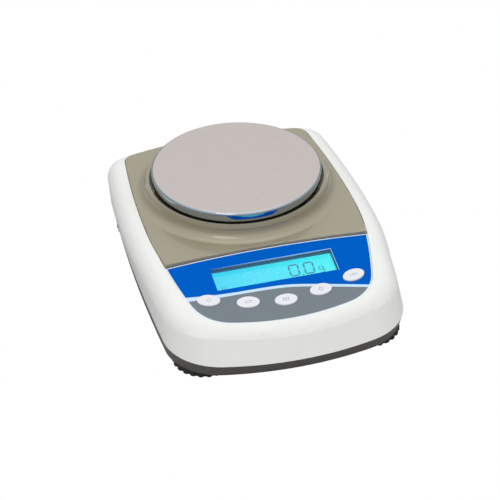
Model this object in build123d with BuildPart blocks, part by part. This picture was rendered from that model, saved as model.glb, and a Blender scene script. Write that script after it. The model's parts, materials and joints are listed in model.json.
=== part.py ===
from build123d import *
import os
from math import atan, cos, degrees, radians, sin, sqrt

os.makedirs("parts", exist_ok=True)

# A laboratory precision balance with a round steel pan. Millimetres, +Z up, +Y to the rear.
# The origin lies on the bench, below the middle of the body's footprint.

# Levels above the bench, with the feet screwed in
base_z = 5.6
seam_z = 15.3
rim_z = 48.6
crown_z = 50.0
deck_z = 49.2
collar_z = 59.25
pan_z = 66.5

# Body outline in plan, at the seam between the white cover and the grey base
body_length = 244.2
seam_half = 84.5
seam_widest_y = -19.3
seam_front_half = 82.4
seam_rear_half = 79.0
seam_front_arc = 204.0
seam_front_corner = 42.0
body_rear_arc = 250.0
body_rear_corner = 17.0

# Body outline where the cover's walls would meet the crown plane
crown_half = 89.6
crown_widest_y = 12.7
crown_front_half = 75.0
crown_rear_half = 80.5
crown_front_lean = 23.3
crown_rear_lean = 1.0
crown_front_arc = 180.0
crown_front_corner = 36.0
shoulder_radius = 12.0

# Body outline at the underside of the base
foot_tuck = 1.4
foot_front_tuck = 4.7
foot_rear_tuck = 2.2
foot_front_half = 80.8
foot_rear_half = 77.0
foot_front_arc = 228.0
foot_front_corner = 40.0

# The field inside the cover's rim that the deck and the panel share
field_half = 74.5
field_widest_y = 3.2
field_front_half = 58.6
field_rear_half = 67.5
field_front_y = -101.6
field_rear_y = 113.2
field_front_arc = 170.0
field_front_corner = 30.0
field_rear_corner = 9.0

# The sloping key panel, its film and the floor below it
panel_slope = 0.195
panel_step = 1.85
panel_lip = 0.35
deck_front_y = -34.4
deck_front_arc = 762.0
knee_radius = 124.0
film = 0.5
panel_floor = 2.1

# Moulding of the housing
wall = 2.6
base_floor = 2.6
ceiling_z = 43.0
ledge_z = 45.4
lip_height = 1.0
lip_inset = 1.6
lip_gap = 0.15
rim_gap = 0.3
seat_gap = 0.05
press_gap = 0.02

# Deck, collar and weighing pan
pan_y = 41.2
pan_radius = 60.0
pan_sheet = 0.9
pan_depth = 7.1
pan_edge_radius = 1.7
deck_sheet = 2.2
deck_skirt = 1.8
collar_radius = 61.6
collar_land = 2.1
collar_draft = 0.8
collar_foot_radius = 8.0
post_hole = 11.0
deck_screw_radius = 52.0
deck_screw_angle = 45.0
deck_boss_length = 9.0
deck_edge_radius = 0.8

# Pan support and its post
post_radius = 5.0
post_tip_radius = 3.6
post_cone_z = 51.0
post_z = 58.0
post_flange = 8.0
hub_radius = 8.5
hub_z = 50.5
hub_top_z = 62.0
arm_count = 4
arm_reach = 46.0
arm_width = 9.0
arm_tip_width = 6.5
arm_sheet = 3.0
arm_tip_radius = 6.0
cushion_radius = 4.5
cushion_stem = 2.0

# Load cell, its block and its bracket
cell_length = 80.0
cell_width = 24.0
cell_height = 18.0
cell_bore = 5.6
cell_bore_pitch = 20.0
cell_web = 2.0
block_length = 26.0
block_height = 5.0
plinth_height = 4.0
plinth_margin = 4.0
bracket_pad = 2.0
bracket_sheet = 3.0
bracket_seat = 18.0
cell_screw = 4.0
cell_screw_pitch = 14.0
cell_screw_head = 3.8
cell_screw_seat = 3.6
bracket_screw_pitch = 9.0
stop_gap = 0.3

# Levelling feet
foot_x = 56.8
foot_y = 83.5
wheel_radius = 22.4
wheel_z = 1.2
wheel_top_gap = 0.5
scallops = 24
scallop_radius = 2.0
scallop_depth = 1.1
pad_radius = 19.0
foot_thread = 6.0
foot_stud_length = 24.0
insert_wall = 1.2
insert_length = 14.0
thread_gap = 0.05
foot_boss_wall = 2.6
foot_boss_z = 21.2
gusset_reach = 7.0
rib = 1.8
rib_x = 18.0
rib_reach = 84.0
rib_height = 4.0
cross_rib_places = [-62.0, -28.0]

# Housing screws and their posts
post_places = [(75.0, -41.0), (73.0, 38.0), (48.0, 108.0), (22.0, -105.0)]
screw = 3.0
screw_head = 2.9
screw_head_height = 2.2
screw_length = 14.0
screw_seat_z = 12.6
boss_wall = 2.4
post_top_z = 17.2

# Keys, in panel coordinates: across, and down the slope from the deck's front edge
key_places = [(-50.6, 39.6, -14.0), (-25.3, 47.3, -7.0), (0.0, 50.9, 0.0), (25.3, 47.3, 7.0), (50.6, 39.6, 14.0)]
key_names = ["power", "unit", "count", "calibrate", "tare"]
key_half_length = 7.9
key_half_width = 5.1
key_rise = 1.0
key_gap = 0.25
key_flange = 1.2
key_flange_sheet = 0.8
key_round = 0.6
key_travel = 0.5
stem_radius = 1.7
stem_reach = 0.9
switch_side = 6.0
switch_height = 3.5

# Display, in panel coordinates
window_length = 84.7
window_width = 20.1
window_down = 21.9
window_round = 0.8
pane_sheet = 1.2
pane_lap = 0.9
glass_depth = 4.2
glass_sheet = 2.2
glass_lap = 1.2
bezel_wall = 1.2
board_depth = 8.6
board_sheet = 1.6
board_length = 124.0
board_top_down = 3.5
board_bottom_down = 58.0
board_corner = 10.0
board_boss_places = [(57.5, 8.5), (36.5, 55.0)]
board_screw = 2.5
board_screw_length = 7.0

# Circuit boards in the base
main_board_x = -40.0
main_board_y = 16.0
main_board_length = 74.0
main_board_width = 44.0
rear_board_y = 98.5
rear_board_length = 78.0
rear_board_width = 17.0
board_z = 14.0
board_margin = 4.0
board_post_radius = 3.2

# Sockets in the rear wall
serial_x = 19.0
serial_z = 22.6
serial_plate = (30.8, 12.5)
serial_shell = (16.6, 8.0)
power_x = -22.0
power_z = 22.0
power_nose = 4.4
power_bore = 3.15
power_pin = 1.05
socket_face_y = 113.6
pocket_face_y = 116.6
socket_gap = 0.25
pocket_margin = 1.6
pad_depth = 8.5
serial_lock_x = 12.5
serial_lock_radius = 2.4

# Bubble level in the deck
level_down = 35.0
level_radius = 7.0
level_flange = 1.5
level_height = 6.0
level_sheet = 1.2
bubble_radius = 2.2

# Cables
ribbon_width = 10.2
ribbon_sheet = 0.9
lead_radius = 1.5
lead_z = 19.1

# Small parts
deck_screw_length = 10.0
seal_margin = 3.0
seal_sheet = 1.2
nut_width = 7.0
nut_height = 3.0
cell_screw_depth = 9.0
post_tail = 3.0
post_flange_sheet = 2.0
rib_drop = 5.0
bracket_lip_length = 34.0
plate_sheet = 0.8
shell_sheet = 0.5
serial_reach = 5.6
serial_body = 8.0
serial_lock_height = 6.0
serial_lock_tail = 2.3
contact_pitch = 2.75
contact_radius = 0.55
power_body = 12.0
power_reach = 4.4
power_depth = 9.5
chip_taper = 6.0
chip_places = [
    (-52.0, 2.0, 14.0, 14.0, 2.0),
    (-33.0, 2.0, 7.5, 10.0, 1.8),
    (-50.0, -11.0, 10.0, 6.0, 2.0),
    (4.0, 96.0, 10.0, 7.5, 2.0),
]
capacitor_places = [(-55.0, 40.0, 4.0, 11.0), (-45.5, 41.0, 3.2, 9.0), (-8.0, 97.0, 4.0, 10.0)]
can_place = (-47.0, 22.0)
can_size = (24.0, 20.0, 5.0)
can_sheet = 0.4
header_width = 6.0
header_height = 5.0
ribbon_x = -33.0
ribbon_down = 12.0
ribbon_bend = 3.5
display_ribbon_y = -10.0
rear_ribbon_x = -25.0
rear_ribbon_y = 94.5
rear_ribbon_front_y = 28.0
rear_ribbon_rise = 7.0
lead_header = (-36.0, 47.0)
lead_header_size = (9.0, 8.0)
lead_start_y = 66.0
lead_bend = 8.0
wheel_chamfer = 0.5
dish_outer = 18.0
dish_inner = 6.0
dish_depth = 1.4
pad_peg = 1.0

# Levels that follow
panel_z = deck_z - panel_step
panel_tilt = atan(panel_slope)
base_floor_z = base_z + base_floor
block_z = base_floor_z + plinth_height
cell_z = block_z + block_height
cell_top_z = cell_z + cell_height
bracket_z = cell_top_z + bracket_pad
bracket_top_z = bracket_z + bracket_sheet
pan_under_z = pan_z - pan_sheet
arm_z = hub_top_z - arm_sheet
cell_front_y = pan_y - cell_length / 2
cell_rear_y = pan_y + cell_length / 2
block_y = cell_rear_y - block_length / 2
bracket_screw_y = cell_front_y + bracket_seat / 2
wheel_top_z = base_z - wheel_top_gap
key_hole_depth = film + panel_floor
key_flange_depth = key_hole_depth + seat_gap + key_flange_sheet
switch_depth = board_depth - switch_height
lamp_sheet = board_depth - glass_depth - glass_sheet
board_pilot_depth = board_screw_length - board_sheet + 0.5
insert_radius = foot_thread / 2 + thread_gap + insert_wall
foot_boss_radius = insert_radius + press_gap + foot_boss_wall
boss_radius = screw / 2 + boss_wall
panel_plane = Plane(
    origin=(0, deck_front_y, panel_z),
    x_dir=(1, 0, 0),
    z_dir=(0, -sin(panel_tilt), cos(panel_tilt)),
)
foot_places = {
    "front_left": (-foot_x, -foot_y),
    "front_right": (foot_x, -foot_y),
    "rear_left": (-foot_x, foot_y),
    "rear_right": (foot_x, foot_y),
}
all_posts = [(side * x, y) for x, y in post_places for side in (-1, 1)]
all_board_bosses = [(side * x, -down) for x, down in board_boss_places for side in (-1, 1)]


def finish(part, label):
    """Names a finished piece and writes it."""
    part.label = label
    export_step(part, f"parts/{label}.step")


def bow(half, radius):
    """Height of an arc of that radius over a chord of twice that half length."""
    return radius - sqrt(radius**2 - half**2)


def barrel(z, gap, half, widest_y, front, rear):
    """Plan outline with bowed sides, made smaller by a gap; ends are (y, half width, arc, corner radius)."""
    front_y, front_half, front_arc, front_corner = front
    rear_y, rear_half, rear_arc, rear_corner = rear
    front_left = (gap - front_half, front_y + gap + bow(front_half - gap, front_arc - gap))
    front_right = (front_half - gap, front_left[1])
    rear_left = (gap - rear_half, rear_y - gap - bow(rear_half - gap, rear_arc - gap))
    rear_right = (rear_half - gap, rear_left[1])
    with BuildSketch(Plane.XY.offset(z)) as plan:
        with BuildLine():
            ThreePointArc(front_left, (0, front_y + gap), front_right)
            TangentArc((half - gap, widest_y), front_right, tangent=(0, -1))
            TangentArc((half - gap, widest_y), rear_right, tangent=(0, 1))
            ThreePointArc(rear_right, (0, rear_y - gap), rear_left)
            TangentArc((gap - half, widest_y), rear_left, tangent=(0, 1))
            TangentArc((gap - half, widest_y), front_left, tangent=(0, -1))
        make_face()
        fillet(plan.vertices().sort_by(Axis.Y)[:2], front_corner - gap)
        fillet(plan.vertices().sort_by(Axis.Y)[-2:], rear_corner - gap)
    return plan.sketch


def seam_outline(z=seam_z, gap=0.0):
    """The body's outline at the seam between cover and base."""
    front = (-body_length / 2, seam_front_half, seam_front_arc, seam_front_corner)
    rear = (body_length / 2, seam_rear_half, body_rear_arc, body_rear_corner)
    return barrel(z, gap, seam_half, seam_widest_y, front, rear)


def crown_outline(gap=0.0):
    """The outline in which the cover's walls would meet the crown plane."""
    front_y = -body_length / 2 + crown_front_lean
    rear_y = body_length / 2 - crown_rear_lean
    front = (front_y, crown_front_half, crown_front_arc, crown_front_corner)
    rear = (rear_y, crown_rear_half, body_rear_arc, body_rear_corner)
    return barrel(crown_z, gap, crown_half, crown_widest_y, front, rear)


def foot_outline(z=base_z, gap=0.0):
    """The outline of the base's underside."""
    front_y = -body_length / 2 + foot_front_tuck
    rear_y = body_length / 2 - foot_rear_tuck
    front = (front_y, foot_front_half, foot_front_arc, foot_front_corner)
    rear = (rear_y, foot_rear_half, body_rear_arc, body_rear_corner)
    return barrel(z, gap, seam_half - foot_tuck, seam_widest_y, front, rear)


def field_outline(z, gap=0.0):
    """The outline of the field that deck and panel share."""
    front = (field_front_y, field_front_half, field_front_arc, field_front_corner)
    rear = (field_rear_y, field_rear_half, body_rear_arc, field_rear_corner)
    return barrel(z, gap, field_half, field_widest_y, front, rear)


def deck_front_zone(z, gap):
    """Everything in front of the deck's bowed front edge, moved to the rear by a gap."""
    edge_x = 1.2 * field_half
    edge_y = deck_front_y + gap
    side_y = edge_y - bow(edge_x, deck_front_arc)
    with BuildSketch(Plane.XY.offset(z)) as zone:
        with BuildLine():
            ThreePointArc((-edge_x, side_y), (0, edge_y), (edge_x, side_y))
            Polyline(
                (edge_x, side_y), (edge_x, -body_length), (-edge_x, -body_length), (-edge_x, side_y)
            )
        make_face()
    return zone.sketch


def top_profile(rear_top, front_top):
    """Side view of the space under a flat rear top and a sloping front top."""
    reach = body_length
    knee_y = deck_front_y + (rear_top - front_top) / panel_slope
    with BuildSketch(Plane.YZ) as side:
        with BuildLine():
            Polyline(
                (-reach, -reach),
                (reach, -reach),
                (reach, rear_top),
                (knee_y, rear_top),
                (-reach, rear_top - panel_slope * (knee_y + reach)),
                close=True,
            )
        make_face()
        knee = side.vertices().filter_by(lambda corner: abs(corner.X - knee_y) < 1e-4)
        fillet(knee, knee_radius)
    return side.sketch


def cover_form(thinner, rear_top, front_top):
    """The cover's rounded body, inset by a wall, under a top with a sloping front."""
    with BuildPart() as form:
        loft(sections=[seam_outline(seam_z, thinner), crown_outline(thinner)], ruled=True)
        top_space = top_profile(rear_top, front_top)
        extrude(top_space, amount=body_length, both=True, mode=Mode.INTERSECT)
        top = form.faces().filter_by(lambda face: face.normal_at().Z > 0.9)
        fillet(top.edges().filter_by(Axis.X, reverse=True), shoulder_radius - thinner)
    return form.part


def under_panel(outline, depth_from, depth_to):
    """A slab of that plan outline between two depths below the panel's surface."""
    with BuildPart() as slab:
        extrude(outline, amount=body_length)
        split(bisect_by=panel_plane.offset(-depth_from), keep=Keep.BOTTOM)
        split(bisect_by=panel_plane.offset(-depth_to), keep=Keep.TOP)
    return slab.part


def key_oval(depth, grow, places=None):
    """Ovals of all keys, or of the places given, at a depth below the panel's surface."""
    with BuildSketch(panel_plane.offset(-depth)) as ovals:
        for across, down, turn in places or key_places:
            with Locations(Location((across, -down), turn)):
                Ellipse(key_half_length + grow, key_half_width + grow)
    return ovals.sketch


def window_shape(depth, grow, corner=0.0):
    """The display window's rectangle, grown all round, at a depth below the panel's surface."""
    with BuildSketch(panel_plane.offset(-depth)) as opening:
        with Locations((0, -window_down)):
            if corner:
                RectangleRounded(window_length + 2 * grow, window_width + 2 * grow, corner)
            else:
                Rectangle(window_length + 2 * grow, window_width + 2 * grow)
    return opening.sketch


def panel_circles(depth, places, radius):
    """Circles at places across and down the panel, at a depth below its surface."""
    with BuildSketch(panel_plane.offset(-depth)) as circles:
        with Locations(*places):
            Circle(radius)
    return circles.sketch


def circles_at(z, places, radius):
    """Circles at plan places on a level."""
    with BuildSketch(Plane.XY.offset(z)) as circles:
        with Locations(*places):
            Circle(radius)
    return circles.sketch


# Top cover: lofted shell with a deck ledge, a panel recess, key and display openings, posts and rear sockets
cover_skin = cover_form(0, rim_z, panel_z + panel_lip)
cover_void = cover_form(wall, ceiling_z, panel_z - film - panel_floor)
deck_screw_places = [
    (
        deck_screw_radius * cos(radians(deck_screw_angle + 90 * quarter)),
        pan_y + deck_screw_radius * sin(radians(deck_screw_angle + 90 * quarter)),
    )
    for quarter in range(4)
]
level_place = (0, pan_y - level_down)

with BuildPart() as deck_recess:
    extrude(field_outline(ledge_z), amount=body_length)
    extrude(deck_front_zone(ledge_z, -rim_gap), amount=body_length, mode=Mode.SUBTRACT)

with BuildPart() as cover_inside:
    extrude(circles_at(post_top_z, all_posts, boss_radius), amount=body_length)
    extrude(circles_at(ceiling_z - deck_boss_length, deck_screw_places, boss_radius), amount=body_length)
    board_bosses = panel_circles(board_depth, all_board_bosses, board_screw / 2 + boss_wall)
    extrude(board_bosses, amount=board_depth - film)
    # Thick pads behind the two rear sockets
    with BuildSketch(Plane.XZ.offset(-socket_face_y)):
        with Locations((serial_x, serial_z)):
            Rectangle(serial_plate[0] + pocket_margin, serial_plate[1] + pocket_margin)
        with Locations((power_x, power_z)):
            Circle(power_nose + 2 * pocket_margin)
    extrude(amount=-pad_depth)
    add(cover_skin, mode=Mode.INTERSECT)

with BuildPart() as top_cover:
    add(cover_skin)
    add(cover_void, mode=Mode.SUBTRACT)
    add(cover_inside.part)
    add(deck_recess.part, mode=Mode.SUBTRACT)
    film_space = under_panel(field_outline(base_z), -body_length / 4, film)
    add(film_space, mode=Mode.SUBTRACT)
    # Rabbet that the base's lip enters
    extrude(seam_outline(seam_z, lip_inset), amount=lip_height + lip_gap, mode=Mode.SUBTRACT)
    # Keys and display window
    extrude(key_oval(key_flange_depth, key_gap), amount=key_flange_depth, mode=Mode.SUBTRACT)
    window_hole = window_shape(key_flange_depth, pane_lap + press_gap, window_round)
    extrude(window_hole, amount=key_flange_depth, mode=Mode.SUBTRACT)
    # Pilot holes for the housing, deck and board screws
    pilots = circles_at(post_top_z, all_posts, screw / 2 + thread_gap)
    extrude(pilots, amount=screw_seat_z + screw_length + 1 - post_top_z, mode=Mode.SUBTRACT)
    pilots = circles_at(ceiling_z - deck_boss_length + 1, deck_screw_places, screw / 2 + thread_gap)
    extrude(pilots, amount=body_length, mode=Mode.SUBTRACT)
    pilots = panel_circles(board_depth, all_board_bosses, board_screw / 2 + thread_gap)
    extrude(pilots, amount=board_pilot_depth, mode=Mode.SUBTRACT)
    # Holes for the pan's post and the bubble level
    extrude(circles_at(ceiling_z - 1, [(0, pan_y)], post_hole), amount=crown_z, mode=Mode.SUBTRACT)
    level_hole = circles_at(ceiling_z - 1, [level_place], level_radius + rim_gap)
    extrude(level_hole, amount=crown_z, mode=Mode.SUBTRACT)
    # Pockets for the plugs and holes for the socket fronts
    with BuildSketch(Plane.XZ.offset(-pocket_face_y)):
        with Locations((serial_x, serial_z)):
            RectangleRounded(serial_plate[0], serial_plate[1], pocket_margin)
        with Locations((power_x, power_z)):
            Circle(power_nose + pocket_margin)
    extrude(amount=-body_length, mode=Mode.SUBTRACT)
    with BuildSketch(Plane.XZ.offset(-socket_face_y)):
        with Locations((serial_x, serial_z)):
            RectangleRounded(serial_shell[0] + 2 * socket_gap, serial_shell[1] + 2 * socket_gap, pocket_margin)
        with Locations((serial_x - serial_lock_x, serial_z), (serial_x + serial_lock_x, serial_z)):
            Circle(serial_lock_radius + socket_gap)
        with Locations((power_x, power_z)):
            Circle(power_nose + socket_gap)
    extrude(amount=-pad_depth, mode=Mode.SUBTRACT)
finish(top_cover.part, "top_cover")

# Base: tapered tray with a lip, a load cell plinth, screw posts, ribs and bosses for the levelling feet
base_post_radius = screw_head + socket_gap + boss_wall
main_board_posts = [
    (
        main_board_x + i * (main_board_width / 2 - board_margin),
        main_board_y + j * (main_board_length / 2 - board_margin),
    )
    for i in (-1, 1)
    for j in (-1, 1)
]
rear_board_posts = [
    (i * (rear_board_length / 2 - board_margin), rear_board_y + j * (rear_board_width / 2 - board_margin))
    for i in (-1, 1)
    for j in (-1, 1)
]
board_posts = main_board_posts + rear_board_posts
cell_screw_places = [(0, block_y - cell_screw_pitch / 2), (0, block_y + cell_screw_pitch / 2)]

with BuildPart() as foot_gusset:
    with BuildSketch(Plane.XZ):
        with BuildLine():
            Polyline(
                (0, base_floor_z - 1),
                (foot_boss_radius + gusset_reach, base_floor_z - 1),
                (foot_boss_radius + gusset_reach, base_floor_z),
                (foot_boss_radius, foot_boss_z - 2),
                (0, foot_boss_z - 2),
                close=True,
            )
        make_face()
    extrude(amount=rib / 2, both=True)

with BuildPart() as bottom_housing:
    loft(sections=[foot_outline(), seam_outline()], ruled=True)
    tray_space = [foot_outline(base_floor_z, wall), seam_outline(seam_z, wall)]
    loft(sections=tray_space, ruled=True, mode=Mode.SUBTRACT)
    # Lip
    with BuildSketch(Plane.XY.offset(seam_z - lip_height)):
        add(seam_outline(0, lip_inset + lip_gap))
        add(seam_outline(0, wall + lip_gap), mode=Mode.SUBTRACT)
    extrude(amount=2 * lip_height)
    # Ribs beside the load cell and across the floor
    with BuildSketch(Plane.XY.offset(base_floor_z - 1)):
        with GridLocations(2 * rib_x, 1, 2, 1):
            Rectangle(rib, 2 * rib_reach)
        with Locations(*[(0, y) for y in cross_rib_places]):
            Rectangle(2 * rib_x, rib)
    extrude(amount=1 + rib_height)
    # Plinth under the load cell's fixed end, and a boss under its free end
    with BuildSketch(Plane.XY.offset(base_floor_z - 1)):
        with Locations((0, block_y)):
            RectangleRounded(cell_width + 2 * plinth_margin, block_length + 2 * plinth_margin, 3)
        with Locations((0, bracket_screw_y)):
            Circle(cell_screw / 2 + boss_wall)
    extrude(amount=1 + plinth_height)
    # Posts
    extrude(circles_at(base_floor_z - 1, all_posts, base_post_radius), amount=post_top_z - base_floor_z + 1)
    extrude(circles_at(base_floor_z - 1, board_posts, board_post_radius), amount=board_z - base_floor_z + 1)
    feet = circles_at(base_floor_z - 1, foot_places.values(), foot_boss_radius)
    extrude(feet, amount=foot_boss_z - base_floor_z + 1)
    for place in foot_places.values():
        with Locations(place):
            with PolarLocations(0, 4, start_angle=45):
                add(foot_gusset.part)
    # Bores for the feet: a wide one for the insert and a narrow one above it
    feet = circles_at(base_z, foot_places.values(), insert_radius + press_gap)
    extrude(feet, amount=insert_length, mode=Mode.SUBTRACT)
    feet = circles_at(base_z, foot_places.values(), foot_thread / 2 + rim_gap)
    extrude(feet, amount=foot_boss_z, mode=Mode.SUBTRACT)
    # Counterbored holes for the housing screws and the load cell screws
    holes = circles_at(base_z, all_posts, screw / 2 + socket_gap)
    extrude(holes, amount=post_top_z, mode=Mode.SUBTRACT)
    holes = circles_at(base_z, all_posts, screw_head + socket_gap)
    extrude(holes, amount=screw_seat_z - base_z, mode=Mode.SUBTRACT)
    holes = circles_at(base_z, cell_screw_places, cell_screw / 2 + socket_gap)
    extrude(holes, amount=block_z, mode=Mode.SUBTRACT)
    holes = circles_at(base_z, cell_screw_places, cell_screw_head + socket_gap)
    extrude(holes, amount=cell_screw_seat, mode=Mode.SUBTRACT)
    # Pilot holes for the boards and the stop screw
    holes = circles_at(board_z - board_pilot_depth, board_posts, board_screw / 2 + thread_gap)
    extrude(holes, amount=board_pilot_depth, mode=Mode.SUBTRACT)
    stop = circles_at(base_floor_z, [(0, bracket_screw_y)], cell_screw / 2 + thread_gap)
    extrude(stop, amount=block_z, mode=Mode.SUBTRACT)
finish(bottom_housing.part, "bottom_housing")

# Deck: painted plate with a skirt, a raised collar round the pan, and holes for the post, level and screws
with BuildPart() as deck_plate:
    extrude(field_outline(ledge_z, rim_gap), amount=deck_z - ledge_z)
    extrude(deck_front_zone(ledge_z, 0), amount=body_length, mode=Mode.SUBTRACT)
    fillet(deck_plate.faces().sort_by(Axis.Z)[-1].edges(), deck_edge_radius)
    # Hollow underside inside the skirt
    with BuildSketch(Plane.XY.offset(ledge_z)):
        add(field_outline(0, rim_gap + deck_skirt))
        add(deck_front_zone(0, deck_skirt), mode=Mode.SUBTRACT)
    extrude(amount=deck_z - deck_sheet - ledge_z, mode=Mode.SUBTRACT)
    # Collar
    with BuildSketch(Plane.XZ.offset(-pan_y)):
        with BuildLine():
            outer_top = collar_radius + collar_land
            outer_foot = outer_top + collar_draft
            fillet_z = deck_z + collar_foot_radius
            Polyline(
                (collar_radius, deck_z - deck_sheet / 2),
                (collar_radius, collar_z),
                (outer_top, collar_z),
                (outer_foot, fillet_z),
            )
            RadiusArc((outer_foot, fillet_z), (outer_foot + collar_foot_radius, deck_z), -collar_foot_radius)
            Polyline(
                (outer_foot + collar_foot_radius, deck_z),
                (outer_foot + collar_foot_radius, deck_z - deck_sheet / 2),
                (collar_radius, deck_z - deck_sheet / 2),
            )
        make_face()
    revolve(axis=Axis((0, pan_y, 0), (0, 0, 1)))
    bosses = circles_at(ledge_z, deck_screw_places, boss_radius)
    extrude(bosses, amount=deck_z - ledge_z)
    extrude(circles_at(ledge_z, [(0, pan_y)], post_hole), amount=collar_z, mode=Mode.SUBTRACT)
    extrude(circles_at(ledge_z, [level_place], level_radius + press_gap), amount=collar_z, mode=Mode.SUBTRACT)
    with Locations(*[(x, y, deck_z) for x, y in deck_screw_places]):
        CounterSinkHole(screw / 2 + thread_gap, screw_head + socket_gap, depth=deck_z)
finish(deck_plate.part, "deck_plate")

# Printed film over the panel
with BuildPart() as panel_overlay:
    add(under_panel(field_outline(base_z, lip_gap), 0, film))
    front_zone = deck_front_zone(base_z, -rim_gap - lip_gap)
    extrude(front_zone, amount=body_length, mode=Mode.INTERSECT)
    extrude(key_oval(2 * film, key_gap), amount=3 * film, mode=Mode.SUBTRACT)
    extrude(window_shape(2 * film, 0, window_round), amount=3 * film, mode=Mode.SUBTRACT)
finish(panel_overlay.part, "panel_overlay")

# Clear window pane, glued under the film
with BuildPart() as display_window:
    extrude(window_shape(film + pane_sheet, pane_lap, window_round), amount=pane_sheet)
finish(display_window.part, "display_window")

# Display frame: a collar up to the pane and a pocket for the glass and its lamp
bezel_grow = glass_lap + bezel_wall
with BuildPart() as display_frame:
    extrude(window_shape(board_depth, bezel_grow, window_round), amount=board_depth - key_flange_depth)
    collar = window_shape(key_flange_depth, pane_lap - lip_gap, window_round)
    extrude(collar, amount=key_flange_depth - film - pane_sheet - seat_gap)
    extrude(window_shape(board_depth, glass_lap + press_gap), amount=board_depth - glass_depth, mode=Mode.SUBTRACT)
    extrude(window_shape(board_depth, 0, window_round), amount=board_depth, mode=Mode.SUBTRACT)
finish(display_frame.part, "display_frame")

with BuildPart() as display_glass:
    extrude(window_shape(glass_depth + glass_sheet, glass_lap), amount=glass_sheet)
finish(display_glass.part, "display_glass")

with BuildPart() as display_lamp:
    extrude(window_shape(board_depth, glass_lap), amount=lamp_sheet)
finish(display_lamp.part, "display_lamp")

# Display board, hung from the cover's bosses
with BuildPart() as display_board:
    with BuildSketch(panel_plane.offset(-board_depth - board_sheet)) as outline:
        with Locations((0, -(board_top_down + board_bottom_down) / 2)):
            Rectangle(board_length, board_bottom_down - board_top_down)
        chamfer(outline.vertices().sort_by(Axis.Y)[:2], board_corner)
        with Locations(*all_board_bosses):
            Circle(board_screw / 2 + socket_gap, mode=Mode.SUBTRACT)
    extrude(amount=board_sheet)
finish(display_board.part, "display_board")

# Key switches, one below each key, each with a blind hole for the key's stem
with BuildPart() as key_switches:
    with BuildSketch(panel_plane.offset(-board_depth)) as plan:
        for across, down, turn in key_places:
            with Locations(Location((across, -down), turn)):
                RectangleRounded(switch_side, switch_side, switch_side / 8)
    extrude(amount=switch_height)
    centres = [(across, -down) for across, down, turn in key_places]
    holes = panel_circles(switch_depth + stem_reach + 2 * key_travel, centres, stem_radius + socket_gap)
    extrude(holes, amount=switch_height, mode=Mode.SUBTRACT)
finish(key_switches.part, "key_switches")

# Key caps: rounded ovals with a flange below the panel floor and a stem that enters the switch
for key_name, place in zip(key_names, key_places):
    across, down = place[:2]
    with BuildPart() as key_cap:
        extrude(key_oval(key_flange_depth, 0, [place]), amount=key_flange_depth + key_rise)
        upward = Axis(panel_plane.origin, panel_plane.z_dir)
        fillet(key_cap.faces().sort_by(upward)[-1].edges(), key_round)
        extrude(key_oval(key_flange_depth, key_flange, [place]), amount=key_flange_sheet)
        stem_end = switch_depth + stem_reach
        stem = panel_circles(stem_end, [(across, -down)], stem_radius)
        extrude(stem, amount=stem_end - key_flange_depth)
    finish(key_cap.part, "key_" + key_name)


def screw_profile(shank, head, head_height, length):
    """Half section of a pan-head screw: head below zero, shank up to its length."""
    with BuildSketch(Plane.XZ) as half:
        with BuildLine():
            Polyline((0, length), (shank - 0.4, length), (shank, length - 0.6), (shank, 0), (head, 0))
            Line((head, 0), (head, -0.55 * head_height))
            TangentArc((0, -head_height), (head, -0.55 * head_height), tangent=(1, 0))
            Line((0, -head_height), (0, length))
        make_face()
    return half.sketch


# Screws that hold the housing together, from below
with BuildPart() as housing_screw:
    revolve(screw_profile(screw / 2, screw_head, screw_head_height, screw_length), axis=Axis.Z)
with BuildPart() as housing_screws:
    with Locations(*[(x, y, screw_seat_z) for x, y in all_posts]):
        add(housing_screw.part)
finish(housing_screws.part, "housing_screws")

# Screws that hold the display board, from below
with BuildPart() as board_screw_form:
    revolve(screw_profile(board_screw / 2, 2.2, 1.6, board_screw_length), axis=Axis.Z)
with BuildPart(panel_plane.offset(-board_depth - board_sheet)) as display_screws:
    with Locations(*all_board_bosses):
        add(board_screw_form.part)
finish(display_screws.part, "display_screws")

# Screws that hold the boards in the base, from above
with BuildPart() as board_screws:
    with Locations(*[Location((x, y, board_z + board_sheet), (180, 0, 0)) for x, y in board_posts]):
        add(board_screw_form.part)
finish(board_screws.part, "board_screws")

# Countersunk screws that hold the deck to the cover
with BuildPart() as deck_screw:
    sink = screw_head
    with BuildSketch(Plane.XZ):
        with BuildLine():
            Polyline(
                (0, -press_gap),
                (sink, -press_gap),
                (screw / 2, -press_gap - sink + screw / 2),
                (screw / 2, -deck_screw_length),
                (0, -deck_screw_length),
                close=True,
            )
        make_face()
    revolve(axis=Axis.Z)
with BuildPart() as deck_screws:
    with Locations(*[(x, y, deck_z - socket_gap) for x, y in deck_screw_places]):
        add(deck_screw.part)
finish(deck_screws.part, "deck_screws")

# Bubble level: cup, liquid with its bubble, and lens
with BuildPart() as level_cup:
    level_bottom = deck_z - level_height
    with Locations((*level_place, level_bottom)):
        Cylinder(level_radius, level_height, align=(Align.CENTER, Align.CENTER, Align.MIN))
    with Locations((*level_place, deck_z)):
        Cylinder(level_radius + level_flange, level_sheet, align=(Align.CENTER, Align.CENTER, Align.MIN))
    with Locations((*level_place, level_bottom + level_sheet)):
        Cylinder(
            level_radius - level_sheet, 2 * level_height, align=(Align.CENTER, Align.CENTER, Align.MIN),
            mode=Mode.SUBTRACT,
        )
finish(level_cup.part, "level_cup")

with BuildPart() as level_liquid:
    liquid_height = level_height - level_sheet - press_gap
    with Locations((*level_place, level_bottom + level_sheet)):
        Cylinder(
            level_radius - level_sheet - press_gap, liquid_height, align=(Align.CENTER, Align.CENTER, Align.MIN)
        )
    with Locations((*level_place, deck_z + bubble_radius / 2)):
        Sphere(bubble_radius, mode=Mode.SUBTRACT)
finish(level_liquid.part, "level_liquid")

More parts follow.
